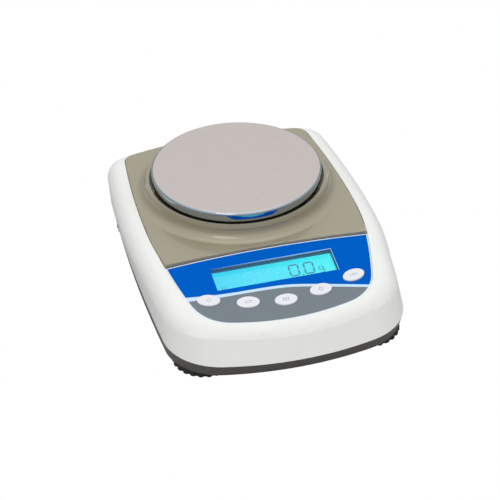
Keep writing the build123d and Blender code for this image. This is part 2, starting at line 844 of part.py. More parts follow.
with BuildPart() as level_lens:
    lens_radius = level_radius - level_sheet - press_gap
    with BuildSketch(Plane.XZ.offset(-level_place[1])):
        with BuildLine():
            Line((0, deck_z), (lens_radius, deck_z))
            Line((lens_radius, deck_z), (lens_radius, deck_z + level_sheet))
            TangentArc((0, deck_z + 1.5 * level_sheet), (lens_radius, deck_z + level_sheet), tangent=(1, 0))
            Line((0, deck_z + 1.5 * level_sheet), (0, deck_z))
        make_face()
    revolve(axis=Axis((*level_place, 0), (0, 0, 1)))
finish(level_lens.part, "level_lens")

# Block between the plinth and the load cell's fixed end
with BuildPart() as cell_block:
    with BuildSketch(Plane.XY.offset(block_z)):
        with Locations((0, block_y)):
            Rectangle(cell_width, block_length)
        with Locations(*cell_screw_places):
            Circle(cell_screw / 2 + socket_gap, mode=Mode.SUBTRACT)
    extrude(amount=block_height)
    chamfer(cell_block.edges().filter_by(Axis.Z).group_by(Axis.Y)[0], 1.0)
finish(cell_block.part, "cell_block")

# Load cell: beam with a double bore that leaves four thin webs, and threaded holes at both ends
with BuildPart() as load_cell:
    with BuildSketch(Plane.XY.offset(cell_z)):
        with Locations((0, pan_y)):
            Rectangle(cell_width, cell_length)
    extrude(amount=cell_height)
    chamfer(load_cell.edges().filter_by(Axis.Z), 0.6)
    cell_mid_z = cell_z + cell_height / 2
    with BuildSketch(Plane.YZ):
        with Locations((pan_y - cell_bore_pitch / 2, cell_mid_z), (pan_y + cell_bore_pitch / 2, cell_mid_z)):
            Circle(cell_height / 2 - cell_web)
        with Locations((pan_y, cell_mid_z)):
            Rectangle(cell_bore_pitch, cell_bore)
    extrude(amount=cell_width, both=True, mode=Mode.SUBTRACT)
    holes = circles_at(cell_z, cell_screw_places, cell_screw / 2 + thread_gap)
    extrude(holes, amount=cell_screw_depth, mode=Mode.SUBTRACT)
    bracket_screw_places = [
        (i * bracket_screw_pitch / 2, bracket_screw_y) for i in (-1, 1)
    ]
    holes = circles_at(cell_top_z - cell_screw_depth, bracket_screw_places, cell_screw / 2 + thread_gap)
    extrude(holes, amount=cell_screw_depth, mode=Mode.SUBTRACT)
finish(load_cell.part, "load_cell")

# Soft seals over the strain gauges, one each side of the beam
with BuildPart() as gauge_seals:
    for level, direction in ((cell_top_z, 1), (cell_z, -1)):
        with BuildSketch(Plane.XY.offset(level)):
            with Locations((0, pan_y)):
                seal_length = cell_bore_pitch + 2 * seal_margin
                RectangleRounded(cell_width - 2 * seal_margin, seal_length, seal_margin)
        extrude(amount=direction * seal_sheet)
finish(gauge_seals.part, "gauge_seals")

with BuildPart() as cell_screw_form:
    shank_length = cell_z + cell_screw_depth - 1 - base_z - cell_screw_seat
    revolve(screw_profile(cell_screw / 2, cell_screw_head, cell_screw_seat - 0.6, shank_length), axis=Axis.Z)
with BuildPart() as cell_screws:
    with Locations(*[(x, y, base_z + cell_screw_seat) for x, y in cell_screw_places]):
        add(cell_screw_form.part)
finish(cell_screws.part, "cell_screws")

# Overload stop below the load cell's free end: set screw and lock nut
with BuildPart() as stop_screw:
    with Locations((0, bracket_screw_y, base_floor_z + press_gap)):
        Cylinder(
            cell_screw / 2, cell_z - stop_gap - base_floor_z - press_gap,
            align=(Align.CENTER, Align.CENTER, Align.MIN),
        )
    fillet(stop_screw.faces().sort_by(Axis.Z)[-1].edges(), cell_screw / 5)
finish(stop_screw.part, "stop_screw")

with BuildPart() as stop_nut:
    with BuildSketch(Plane.XY.offset(block_z)):
        with Locations((0, bracket_screw_y)):
            RegularPolygon(nut_width / 2, 6, major_radius=False)
            Circle(cell_screw / 2 + thread_gap, mode=Mode.SUBTRACT)
    extrude(amount=nut_height)
    chamfer(stop_nut.faces().sort_by(Axis.Z)[-1].outer_wire().edges(), 0.4)
finish(stop_nut.part, "stop_nut")

# Bracket from the free end back to the pan's axis
with BuildPart() as pan_bracket:
    front_y = cell_front_y
    with BuildSketch(Plane.XY.offset(cell_top_z)):
        with Locations((0, front_y + bracket_seat / 2)):
            Rectangle(cell_width, bracket_seat)
    extrude(amount=bracket_pad)
    with BuildSketch(Plane.XY.offset(bracket_z)) as strap:
        with BuildLine():
            end_y = pan_y + post_flange + 2
            half = cell_width / 2
            Polyline((-half, end_y - half), (-half, front_y), (half, front_y), (half, end_y - half))
            ThreePointArc((half, end_y - half), (0, end_y), (-half, end_y - half))
        make_face()
    extrude(amount=bracket_sheet)
    # Stiffening lips along both sides
    with BuildSketch(Plane.XY.offset(cell_top_z + seal_sheet + rim_gap)):
        with Locations((0, front_y + 2 + bracket_lip_length / 2)):
            with GridLocations(2 * (cell_width / 2 + rib / 2), 1, 2, 1):
                Rectangle(rib, bracket_lip_length)
    extrude(amount=bracket_top_z - cell_top_z - seal_sheet - rim_gap)
    holes = circles_at(cell_top_z, bracket_screw_places, cell_screw / 2 + socket_gap)
    extrude(holes, amount=cell_height, mode=Mode.SUBTRACT)
    extrude(circles_at(bracket_z, [(0, pan_y)], post_tail + press_gap), amount=bracket_sheet, mode=Mode.SUBTRACT)
finish(pan_bracket.part, "pan_bracket")

with BuildPart() as bracket_screw_form:
    tail = bracket_top_z - cell_top_z + cell_screw_depth - 1
    revolve(screw_profile(cell_screw / 2, 3.4, 2.0, tail), axis=Axis.Z)
with BuildPart() as bracket_screws:
    with Locations(*[Location((x, y, bracket_top_z), (180, 0, 0)) for x, y in bracket_screw_places]):
        add(bracket_screw_form.part)
finish(bracket_screws.part, "bracket_screws")

# Post on the bracket, with a tapered nose
with BuildPart() as pan_post:
    with BuildSketch(Plane.XZ.offset(-pan_y)):
        with BuildLine():
            Polyline(
                (0, bracket_z),
                (post_tail, bracket_z),
                (post_tail, bracket_top_z),
                (post_flange, bracket_top_z),
                (post_flange, bracket_top_z + post_flange_sheet),
                (post_radius, bracket_top_z + post_flange_sheet),
                (post_radius, post_cone_z),
                (post_tip_radius, post_z),
                (0, post_z),
                close=True,
            )
        make_face()
    revolve(axis=Axis((0, pan_y, 0), (0, 0, 1)))
finish(pan_post.part, "pan_post")

# Rib below each arm of the pan support
with BuildPart() as arm_rib:
    with BuildSketch(Plane.XZ):
        with BuildLine():
            rib_start = hub_radius - 1
            Polyline((rib_start, arm_z - rib_drop), (rib_start, arm_z), (arm_reach - arm_tip_radius, arm_z), close=True)
        make_face()
    extrude(amount=rib / 2, both=True)

# Pan support: hub with a tapered bore and four ribbed arms
with BuildPart() as pan_support:
    with BuildSketch(Plane.XZ.offset(-pan_y)):
        with BuildLine():
            Polyline(
                (post_radius + thread_gap, hub_z),
                (hub_radius - 1, hub_z),
                (hub_radius, hub_z + 1),
                (hub_radius, arm_z),
                (hub_radius + 4, hub_top_z),
                (0, hub_top_z),
                (0, post_z + seat_gap),
                (post_tip_radius + thread_gap, post_z + seat_gap),
                (post_radius + thread_gap, post_cone_z + seat_gap),
                close=True,
            )
        make_face()
    revolve(axis=Axis((0, pan_y, 0), (0, 0, 1)))
    arm_length = arm_reach - hub_radius
    arm_side_angle = degrees(atan(2 * arm_length / (arm_width - arm_tip_width)))
    with BuildSketch(Plane.XY.offset(arm_z)):
        with Locations((0, pan_y)):
            with PolarLocations(0, arm_count, start_angle=45):
                with Locations(((hub_radius + arm_reach) / 2, 0)):
                    Trapezoid(arm_width, arm_length, arm_side_angle, rotation=-90)
                with Locations((arm_reach, 0)):
                    Circle(arm_tip_radius)
    extrude(amount=arm_sheet)
    with Locations((0, pan_y)):
        with PolarLocations(0, arm_count, start_angle=45):
            add(arm_rib.part)
    cushion_places = [
        (
            arm_reach * cos(radians(45 + 360 / arm_count * i)),
            pan_y + arm_reach * sin(radians(45 + 360 / arm_count * i)),
        )
        for i in range(arm_count)
    ]
    stems = circles_at(arm_z, cushion_places, cushion_stem + press_gap)
    extrude(stems, amount=arm_sheet, mode=Mode.SUBTRACT)
finish(pan_support.part, "pan_support")

# Rubber cushions in the arm tips
with BuildPart() as pan_cushions:
    extrude(circles_at(arm_z, cushion_places, cushion_stem), amount=arm_sheet)
    extrude(circles_at(hub_top_z, cushion_places, cushion_radius), amount=pan_under_z - seat_gap - hub_top_z)
    rounded = pan_cushions.faces().group_by(Axis.Z)[-1].edges()
    fillet(rounded, cushion_radius / 5)
finish(pan_cushions.part, "pan_cushions")

# Weighing pan: deep-drawn steel dish, open side down
with BuildPart() as weighing_pan:
    with BuildSketch(Plane.XZ.offset(-pan_y)) as wall_section:
        with BuildLine():
            inner = pan_radius - pan_sheet
            shoulder = pan_radius - pan_edge_radius
            Polyline((0, pan_under_z), (0, pan_z), (shoulder, pan_z))
            RadiusArc((shoulder, pan_z), (pan_radius, pan_z - pan_edge_radius), pan_edge_radius)
            Polyline(
                (pan_radius, pan_z - pan_edge_radius),
                (pan_radius, pan_z - pan_depth),
                (inner, pan_z - pan_depth),
                (inner, pan_z - pan_edge_radius),
            )
            RadiusArc((inner, pan_z - pan_edge_radius), (shoulder, pan_under_z), pan_sheet - pan_edge_radius)
            Line((shoulder, pan_under_z), (0, pan_under_z))
        make_face()
    revolve(axis=Axis((0, pan_y, 0), (0, 0, 1)))
finish(weighing_pan.part, "weighing_pan")

# Main board and rear board
with BuildPart() as main_board:
    with BuildSketch(Plane.XY.offset(board_z)):
        with Locations((main_board_x, main_board_y)):
            RectangleRounded(main_board_width, main_board_length, 1.5)
        with Locations(*main_board_posts):
            Circle(board_screw / 2 + socket_gap, mode=Mode.SUBTRACT)
    extrude(amount=board_sheet)
finish(main_board.part, "main_board")

with BuildPart() as rear_board:
    with BuildSketch(Plane.XY.offset(board_z)):
        with Locations((0, rear_board_y)):
            RectangleRounded(rear_board_length, rear_board_width, 1.5)
        with Locations(*rear_board_posts):
            Circle(board_screw / 2 + socket_gap, mode=Mode.SUBTRACT)
    extrude(amount=board_sheet)
finish(rear_board.part, "rear_board")

board_top_z = board_z + board_sheet

# Chips on both boards, each a moulded body over two rows of legs
with BuildPart() as board_chips:
    for x, y, length, width, height in chip_places:
        with BuildSketch(Plane.XY.offset(board_top_z)):
            with Locations((x, y)):
                Rectangle(length, width)
        extrude(amount=height, taper=chip_taper)
finish(board_chips.part, "board_chips")

# Upright capacitors
with BuildPart() as capacitors:
    for x, y, radius, height in capacitor_places:
        with Locations((x, y, board_top_z)):
            Cylinder(radius, height, align=(Align.CENTER, Align.CENTER, Align.MIN))
    fillet(capacitors.faces().filter_by(Axis.Z).filter_by(lambda face: face.center().Z > board_top_z + 1).edges(), 0.6)
finish(capacitors.part, "capacitors")

# Screening can over the converter
with BuildPart() as screen_can:
    with BuildSketch(Plane.XY.offset(board_top_z)):
        with Locations(can_place):
            RectangleRounded(can_size[0], can_size[1], 1.0)
    extrude(amount=can_size[2])
    fillet(screen_can.faces().sort_by(Axis.Z)[-1].edges(), 0.6)
    offset(amount=-can_sheet, openings=screen_can.faces().sort_by(Axis.Z)[0])
finish(screen_can.part, "screen_can")

# Headers that the ribbons and the load cell's lead plug into
ribbon_ends = [
    (ribbon_x, display_ribbon_y),
    (rear_ribbon_x, rear_ribbon_front_y),
    (rear_ribbon_x, rear_ribbon_y),
]
with BuildPart() as cable_headers:
    with BuildSketch(Plane.XY.offset(board_top_z)):
        with Locations(*ribbon_ends):
            RectangleRounded(ribbon_width + 3, header_width, 0.8)
    extrude(amount=header_height)
    with BuildSketch(panel_plane.offset(-board_depth - board_sheet)):
        with Locations((ribbon_x, -ribbon_down)):
            RectangleRounded(ribbon_width + 3, header_width, 0.8)
    extrude(amount=-header_height)
    with BuildSketch(Plane.XY.offset(board_top_z)):
        with Locations(lead_header):
            Rectangle(*lead_header_size)
    extrude(amount=2 * lead_radius + 3)
finish(cable_headers.part, "cable_headers")


def ribbon(path, x):
    """Flat ribbon of even thickness along a bent path seen from the side."""
    with BuildPart() as strip:
        with BuildSketch(Plane.YZ.offset(x - ribbon_width / 2)):
            with BuildLine():
                FilletPolyline(*path, radius=ribbon_bend)
            trace(line_width=ribbon_sheet)
        extrude(amount=ribbon_width)
    return strip.part


header_top_z = board_top_z + header_height
plug_y = deck_front_y - ribbon_down * cos(panel_tilt) + (board_depth + board_sheet + header_height) * sin(panel_tilt)
plug_z = panel_z - ribbon_down * sin(panel_tilt) - (board_depth + board_sheet + header_height) * cos(panel_tilt)
display_run_z = (plug_z + header_top_z) / 2
display_path = [
    (plug_y, plug_z - 3 * seat_gap),
    (plug_y, display_run_z),
    (display_ribbon_y, display_run_z),
    (display_ribbon_y, header_top_z),
]
display_ribbon = ribbon(display_path, ribbon_x)
finish(display_ribbon, "display_ribbon")
rear_run_z = header_top_z + rear_ribbon_rise
rear_path = [
    (rear_ribbon_y, header_top_z),
    (rear_ribbon_y, rear_run_z),
    (rear_ribbon_front_y, rear_run_z),
    (rear_ribbon_front_y, header_top_z),
]
rear_ribbon = ribbon(rear_path, rear_ribbon_x)
finish(rear_ribbon, "rear_ribbon")

# Round lead from the load cell to the main board
with BuildPart() as cell_lead:
    with BuildLine(Plane.XY.offset(lead_z)) as lead_line:
        FilletPolyline(
            (-cell_width / 2, lead_start_y),
            (lead_header[0], lead_start_y),
            (lead_header[0], lead_header[1] + lead_header_size[1] / 2),
            radius=lead_bend,
        )
    with BuildSketch(Plane(origin=lead_line.line @ 0, z_dir=lead_line.line % 0)):
        Circle(lead_radius)
    sweep()
finish(cell_lead.part, "cell_lead")

def shell_section(grow):
    """Section of the serial socket's shell, its lower side shorter."""
    length, height = serial_shell[0] + 2 * grow, serial_shell[1] + 2 * grow
    with BuildSketch() as section:
        Trapezoid(length, height, 80, rotation=180)
        fillet(section.vertices(), height / 5)
    return section.sketch


# Serial socket: flange and a shell with slanted sides
with BuildPart() as serial_socket:
    with BuildSketch(Plane.XZ.offset(-socket_face_y)):
        with Locations((serial_x, serial_z)):
            RectangleRounded(serial_plate[0], serial_plate[1], 1)
        with Locations((serial_x - serial_lock_x, serial_z), (serial_x + serial_lock_x, serial_z)):
            Circle(screw / 2 + thread_gap, mode=Mode.SUBTRACT)
    extrude(amount=plate_sheet)
    with BuildSketch(Plane.XZ.offset(-socket_face_y)):
        with Locations((serial_x, serial_z)):
            add(shell_section(0))
    extrude(amount=-serial_reach)
    with BuildSketch(Plane.XZ.offset(plate_sheet - socket_face_y)):
        with Locations((serial_x, serial_z)):
            add(shell_section(-shell_sheet))
    extrude(amount=-plate_sheet - serial_reach, mode=Mode.SUBTRACT)
finish(serial_socket.part, "serial_socket")

# Body of the serial socket, on the rear board, with nine contact holes
with BuildPart() as serial_insert:
    body_low = board_top_z
    body_high = serial_z + serial_plate[1] / 2 - 1
    with BuildSketch(Plane.XZ.offset(plate_sheet - socket_face_y)):
        with Locations((serial_x, (body_low + body_high) / 2)):
            Rectangle(serial_plate[0] - 12, body_high - body_low)
    extrude(amount=serial_body)
    with BuildSketch(Plane.XZ.offset(plate_sheet - socket_face_y)):
        with Locations((serial_x, serial_z)):
            add(shell_section(-shell_sheet - press_gap))
    extrude(amount=-plate_sheet - serial_reach)
    with BuildSketch(Plane.XZ.offset(-socket_face_y - serial_reach)):
        for row, count in ((1, 5), (-1, 4)):
            with Locations((serial_x, serial_z + row * contact_pitch / 2)):
                with GridLocations(contact_pitch, 1, count, 1):
                    Circle(contact_radius)
    extrude(amount=serial_reach, mode=Mode.SUBTRACT)
finish(serial_insert.part, "serial_insert")

# Hexagonal posts beside the serial socket
with BuildPart() as serial_locks:
    lock_places = [(serial_x - serial_lock_x, serial_z), (serial_x + serial_lock_x, serial_z)]
    with BuildSketch(Plane.XZ.offset(-socket_face_y)):
        with Locations(*lock_places):
            RegularPolygon(serial_lock_radius, 6)
    extrude(amount=-serial_lock_height)
    with BuildSketch(Plane.XZ.offset(-socket_face_y)):
        with Locations(*lock_places):
            Circle(screw / 2)
    extrude(amount=serial_lock_tail)
finish(serial_locks.part, "serial_locks")

# Power socket: body on the board, round nose, bore and centre pin
with BuildPart() as power_socket:
    with BuildSketch(Plane.XZ.offset(-socket_face_y)):
        with Locations((power_x, (board_top_z + power_z + power_nose) / 2)):
            Rectangle(2 * power_nose, power_z + power_nose - board_top_z)
    extrude(amount=power_body)
    with BuildSketch(Plane.XZ.offset(-socket_face_y)):
        with Locations((power_x, power_z)):
            Circle(power_nose)
    extrude(amount=-power_reach)
    with BuildSketch(Plane.XZ.offset(-socket_face_y - power_reach)):
        with Locations((power_x, power_z)):
            Circle(power_bore)
            Circle(power_pin, mode=Mode.SUBTRACT)
    extrude(amount=power_depth, mode=Mode.SUBTRACT)
    with BuildSketch(Plane.XZ.offset(-socket_face_y - power_reach)):
        with Locations((power_x, power_z)):
            Circle(power_pin)
    extrude(amount=1, mode=Mode.SUBTRACT)
finish(power_socket.part, "power_socket")

# Brass inserts moulded into the foot bosses
with BuildPart() as foot_inserts:
    extrude(circles_at(base_z, foot_places.values(), insert_radius), amount=insert_length)
    bores = circles_at(base_z, foot_places.values(), foot_thread / 2 + thread_gap)
    extrude(bores, amount=insert_length, mode=Mode.SUBTRACT)
finish(foot_inserts.part, "foot_inserts")

# Levelling feet: scalloped wheel, threaded stud and rubber pad that stays still while the wheel turns
for place_name, place in foot_places.items():
    with BuildPart() as foot_wheel:
        with BuildSketch(Plane.XY.offset(wheel_z)):
            with Locations(place):
                Circle(wheel_radius)
                with PolarLocations(wheel_radius + scallop_radius - scallop_depth, scallops):
                    Circle(scallop_radius, mode=Mode.SUBTRACT)
        extrude(amount=wheel_top_z - wheel_z)
        rims = foot_wheel.faces().filter_by(Axis.Z).edges()
        chamfer(rims, wheel_chamfer)
        # Dished top round the hub
        with Locations((*place, wheel_top_z)):
            with Locations((0, 0, -dish_depth)):
                Cylinder(dish_outer, dish_depth, align=(Align.CENTER, Align.CENTER, Align.MIN), mode=Mode.SUBTRACT)
        with Locations((*place, wheel_z)):
            Cylinder(
                dish_inner, wheel_top_z - wheel_z, align=(Align.CENTER, Align.CENTER, Align.MIN)
            )
        stud_bore = circles_at(wheel_z, [place], foot_thread / 2 + press_gap)
        extrude(stud_bore, amount=body_length, mode=Mode.SUBTRACT)
    finish(foot_wheel.part, "wheel_" + place_name)

    with BuildPart() as foot_stud:
        extrude(circles_at(wheel_z + pad_peg + seat_gap, [place], foot_thread / 2), amount=foot_stud_length)
        chamfer(foot_stud.faces().sort_by(Axis.Z)[-1].edges(), foot_thread / 8)
    finish(foot_stud.part, "stud_" + place_name)

    with BuildPart() as foot_pad:
        extrude(circles_at(0, [place], pad_radius), amount=wheel_z - seat_gap)
        fillet(foot_pad.faces().sort_by(Axis.Z)[0].edges(), wheel_z / 3)
        extrude(circles_at(0, [place], foot_thread / 2 - thread_gap), amount=wheel_z + pad_peg)
    finish(foot_pad.part, "pad_" + place_name)
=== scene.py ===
import json
import math

import bmesh
import bpy
from mathutils import Matrix, Vector


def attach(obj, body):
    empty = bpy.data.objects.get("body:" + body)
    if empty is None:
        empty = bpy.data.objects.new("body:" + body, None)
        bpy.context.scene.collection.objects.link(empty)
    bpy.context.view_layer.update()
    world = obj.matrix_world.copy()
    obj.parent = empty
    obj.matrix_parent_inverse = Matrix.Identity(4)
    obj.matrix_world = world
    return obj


# A laboratory balance with a round steel pan, on a white bench in soft studio light.
# Blender's own lengths are metres, +Z up and +Y to the rear; the drawings below are in millimetres.
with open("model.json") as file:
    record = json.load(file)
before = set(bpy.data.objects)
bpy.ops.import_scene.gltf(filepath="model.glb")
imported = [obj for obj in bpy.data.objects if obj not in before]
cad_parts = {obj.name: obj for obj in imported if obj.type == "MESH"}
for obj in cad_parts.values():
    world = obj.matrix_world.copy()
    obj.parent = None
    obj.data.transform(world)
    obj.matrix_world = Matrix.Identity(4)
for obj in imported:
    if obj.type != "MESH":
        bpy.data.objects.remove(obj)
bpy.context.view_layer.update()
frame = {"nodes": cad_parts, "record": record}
nodes = frame["nodes"]
scene = bpy.context.scene
MM = 0.001

# Places on the object, in millimetres, as in the part. Across is to the right and down is
# from the panel's top edge, both in its plane.
PAN_Y = 41.2
PAN_RADIUS = 60.0
PAN_TOP = 66.5
PANEL_Y = -34.4
PANEL_Z = 47.35
PANEL_TILT = math.atan(0.195)
WINDOW_HALF = (42.35, 10.05)
WINDOW_DOWN = 21.9
GLASS_DEPTH = 4.2
# Each key's place across and down, and its turn in degrees
KEYS = {
    "power": (-50.6, 39.6, -14.0),
    "unit": (-25.3, 47.3, -7.0),
    "count": (0.0, 50.9, 0.0),
    "calibrate": (25.3, 47.3, 7.0),
    "tare": (50.6, 39.6, 14.0),
}
KEY_TOP = 1.0

# Printing and light, in millimetres where they are lengths
PRINT_EDGE = 0.12
PRINT_FOOT = 0.02
SIGN_INK = 0.03
SIGN_LINE = 0.35
SEGMENT_INK = 0.04
SEGMENT_WIDTH = 1.25
GRAM_LINE = 0.65
DISPLAY_STRENGTH = 0.86


def colour(red, green, blue):
    """Linear colour from its 0 to 255 display values."""
    parts = [v / 255 for v in (red, green, blue)]
    return tuple(p / 12.92 if p <= 0.04045 else ((p + 0.055) / 1.055) ** 2.4 for p in parts) + (1.0,)


# Shader arithmetic


class Value:
    """A number inside a shader, with arithmetic."""

    def __init__(self, tree, socket):
        self.tree = tree
        self.socket = socket

    def math(self, operation, *others):
        node = self.tree.nodes.new("ShaderNodeMath")
        node.operation = operation
        for slot, value in zip(node.inputs, (self, *others)):
            plug(self.tree, slot, value)
        return Value(self.tree, node.outputs[0])

    def __add__(self, other):
        return self.math("ADD", other)

    def __sub__(self, other):
        return self.math("SUBTRACT", other)

    def __mul__(self, other):
        return self.math("MULTIPLY", other)

    def __truediv__(self, other):
        return self.math("DIVIDE", other)

    def root(self):
        return self.math("SQRT")

    def size(self):
        return self.math("ABSOLUTE")

    def most(self, other):
        return self.math("MAXIMUM", other)

    def step(self, low, high):
        """0 below low, 1 above high, smooth between; falls instead where low is the greater."""
        node = self.tree.nodes.new("ShaderNodeMapRange")
        node.interpolation_type = "SMOOTHSTEP"
        rising = high > low
        for name, value in (("From Min", min(low, high)), ("From Max", max(low, high))):
            node.inputs[name].default_value = value
        node.inputs["To Min"].default_value = 0.0 if rising else 1.0
        node.inputs["To Max"].default_value = 1.0 if rising else 0.0
        plug(self.tree, node.inputs["Value"], self)
        return Value(self.tree, node.outputs[0])


def plug(tree, slot, value):
    """Links a shader value to an input, or sets the input's number."""
    if isinstance(value, Value):
        tree.links.new(value.socket, slot)
    else:
        slot.default_value = value


class Look:
    """A material under construction: its coordinates in millimetres, patterns and surface inputs."""

    def __init__(self, name):
        self.name = name
        self.material = bpy.data.materials.new(name)
        self.material.use_nodes = True
        self.tree = self.material.node_tree
        self.tree.nodes.clear()
        self.output = self.node("ShaderNodeOutputMaterial")
        self.surface = self.node("ShaderNodeBsdfPrincipled")
        self.tree.links.new(self.surface.outputs[0], self.output.inputs["Surface"])
        coords = self.node("ShaderNodeTexCoord")
        scale = self.node("ShaderNodeVectorMath")
        scale.operation = "SCALE"
        scale.inputs["Scale"].default_value = 1 / MM
        self.tree.links.new(coords.outputs["Object"], scale.inputs[0])
        self.place = scale.outputs[0]
        apart = self.node("ShaderNodeSeparateXYZ")
        self.tree.links.new(self.place, apart.inputs[0])
        self.x, self.y, self.z = (Value(self.tree, s) for s in apart.outputs)

    def node(self, kind):
        return self.tree.nodes.new(kind)

    def noise(self, scale, detail=2.0, stretch=(1, 1, 1)):
        """Noise from 0 to 1, with so many features per millimetre."""
        node = self.node("ShaderNodeTexNoise")
        node.inputs["Scale"].default_value = scale
        node.inputs["Detail"].default_value = detail
        source = self.place
        if stretch != (1, 1, 1):
            mapping = self.node("ShaderNodeMapping")
            mapping.inputs["Scale"].default_value = stretch
            self.tree.links.new(source, mapping.inputs[0])
            source = mapping.outputs[0]
        self.tree.links.new(source, node.inputs["Vector"])
        return Value(self.tree, node.outputs["Fac"])

    def mix(self, share, low, high):
        """Colour between low and high."""
        node = self.node("ShaderNodeMix")
        node.data_type = "RGBA"
        plug(self.tree, node.inputs[0], share)
        plug(self.tree, node.inputs[6], low)
        plug(self.tree, node.inputs[7], high)
        return Value(self.tree, node.outputs[2])

    def tint(self, base, share, amount):
        """A colour made darker and lighter by a pattern of 0 to 1, by that amount."""
        dark = tuple(c * (1 - amount) for c in base[:3]) + (1.0,)
        light = tuple(min(1.0, c * (1 + amount)) for c in base[:3]) + (1.0,)
        return self.mix(share, dark, light)

    def bump(self, height, distance):
        """Surface relief from a height of 0 to 1, of that depth in millimetres."""
        node = self.node("ShaderNodeBump")
        node.inputs["Strength"].default_value = 1.0
        node.inputs["Distance"].default_value = distance * MM
        plug(self.tree, node.inputs["Height"], height)
        self.set(Normal=Value(self.tree, node.outputs[0]))

    def set(self, **inputs):
        for name, value in inputs.items():
            plug(self.tree, self.surface.inputs[name.replace("_", " ")], value)

    def fix(self, name, value):
        """Sets a surface input to one number."""
        self.surface.inputs[name].default_value = value

    def between(self, share, first, second):
        """Gives the material a mixture of two shaders in place of its own surface."""
        both = self.node("ShaderNodeMixShader")
        plug(self.tree, both.inputs[0], share)
        self.tree.links.new(first.outputs[0], both.inputs[1])
        self.tree.links.new(second.outputs[0], both.inputs[2])
        self.tree.links.new(both.outputs[0], self.output.inputs["Surface"])
        self.tree.nodes.remove(self.surface)


def plain(name, base, rough, metal=0.0, grain=2.0, relief=0.01, uneven=0.04):
    """A surface of one colour with fine grain, slight unevenness of tone and of gloss."""
    gloss_spread = 0.08
    look = Look(name)
    fine = look.noise(grain, 3.0)
    broad = look.noise(0.05, 3.0)
    look.set(Base_Color=look.tint(base, broad, uneven), Metallic=metal)
    look.set(Roughness=look.noise(0.3, 4.0) * (2 * gloss_spread) + (rough - gloss_spread))
    look.bump(fine, relief)
    return look


def deck_look():
    """Champagne gloss paint over pressed steel, with fine metal flakes and a faint orange peel."""
    look = Look("deck_paint")
    flakes = look.noise(6.0, 2.0)
    peel = look.noise(0.35, 2.0)
    base = colour(158, 150, 126)
    look.set(Base_Color=look.tint(base, flakes, 0.05), Metallic=0.35, Roughness=flakes * 0.1 + 0.3)
    look.fix("Coat Weight", 1.0)
    look.fix("Coat Roughness", 0.04)
    look.bump(peel, 0.008)
    return look


def strip(offset, half):
    """1 within that distance of nought, 0 outside it, with the soft edge of print."""
    return (offset.size() - half).step(PRINT_EDGE, -PRINT_EDGE)


def panel_look():
    """Printed film: blue over grey, parted by a light swung line, with painted highlight lines at the
    window's edge.
    """
    look = Look("panel_film")
    across = look.x
    down = (look.y * -1.0 + PANEL_Y) / math.cos(PANEL_TILT)
    # The line runs level in the middle, sinks to the right of one bend and rises past the other
    right_bend, right_slope, right_soft = 5.0, 0.135, 12.0
    left_bend, left_slope, left_soft = -45.0, 0.055, 8.0
    line_down, line_half, line_taper, taper_reach = 37.15, 1.5, 0.02, 15.0
    right = across - right_bend
    left = across * -1.0 + left_bend
    sink = (right + (right * right + right_soft**2).root()) * right_slope
    rise = (left + (left * left + left_soft**2).root()) * left_slope
    off = down - (sink - rise + line_down)
    half = left.most(-taper_reach) * line_taper + line_half
    line = strip(off, half)
    grey_side = off.step(-PRINT_EDGE, PRINT_EDGE)
    grain = look.noise(9.0, 2.0)
    blue = look.tint(colour(0, 95, 198), grain, 0.03)
    grey = look.tint(colour(124, 133, 140), grain, 0.03)
    ink = look.mix(grey_side, blue, grey)
    ink = look.mix(line, ink, colour(205, 232, 250))
    # Painted highlights: thin light lines where the window's cut edge catches light, above the window and
    # at its right, fainter to the left
    half_wide, half_high = WINDOW_HALF
    apart, past = 0.3, 0.5
    top = WINDOW_DOWN - half_high - apart
    above = strip(down - top, 0.24) * strip(across, half_wide + past)
    right_edge_highlight = strip(across - (half_wide + apart), 0.2) * strip(down - WINDOW_DOWN, half_high + past)
    highlight_fade = across.step(-60.0, 20.0)
    # The painted highlight lines are mixed into the film's colour here
    ink = look.mix(above.most(right_edge_highlight) * highlight_fade, ink, colour(170, 215, 245))
    look.set(Base_Color=ink, Roughness=grain * 0.06 + 0.3)
    look.fix("Specular IOR Level", 0.0)
    look.bump(look.noise(1.2, 3.0), 0.003)
    return look


def pan_look():
    """Fine brushed steel on top; round the edge a mirror finish, tinted blue as a painted reflection of the
    panel.
    """
    look = Look("pan_steel")
    reach = look.y - PAN_Y
    radius = (look.x * look.x + reach * reach).root()
    high = look.z.step(PAN_TOP - 0.25, PAN_TOP - 0.02)
    top = high * radius.step(PAN_RADIUS - 1.0, PAN_RADIUS - 1.6)
    brush = look.noise(2.2, 4.0, stretch=(0.06, 1.6, 1.0))
    fine = look.noise(8.0, 3.0, stretch=(0.03, 1.0, 1.0))
    satin = look.mix(brush, colour(196, 187, 184), colour(222, 214, 211))
    # Rim colour: steel grey with a blue tint that is a painted reflection of the blue panel and the display
    polished_blue_reflection = colour(168, 178, 186)
    look.set(Base_Color=look.mix(top, polished_blue_reflection, satin), Metallic=1.0)
    look.set(Roughness=top * (fine * 0.1 + 0.32) + 0.06)
    look.bump(fine * top, 0.002)
    return look


def display_look():
    """Lit display: bright at the right, where its lamp sits, with a faint diffuser pattern."""
    look = Look("display_face")
    spot = (look.x * 0.012 + 0.5).step(-0.2, 1.1)
    glow = look.mix(spot, colour(0, 216, 252), colour(20, 248, 252))
    weave = look.noise(1.5, 2.0)
    glow = look.mix(weave * 0.06, glow, colour(30, 150, 190))
    look.set(Base_Color=colour(20, 70, 84), Roughness=0.2, Emission_Color=glow)
    look.fix("Emission Strength", DISPLAY_STRENGTH)
    return look


def clear_look(name, share):
    """Thin clear sheet: mostly see-through, with a weak reflection."""
    look = Look(name)
    through = look.node("ShaderNodeBsdfTransparent")
    through.inputs[0].default_value = (1, 1, 1, 1)
    shine = look.node("ShaderNodeBsdfGlossy")
    shine.inputs["Roughness"].default_value = 0.04
    look.between(share, through, shine)
    return look


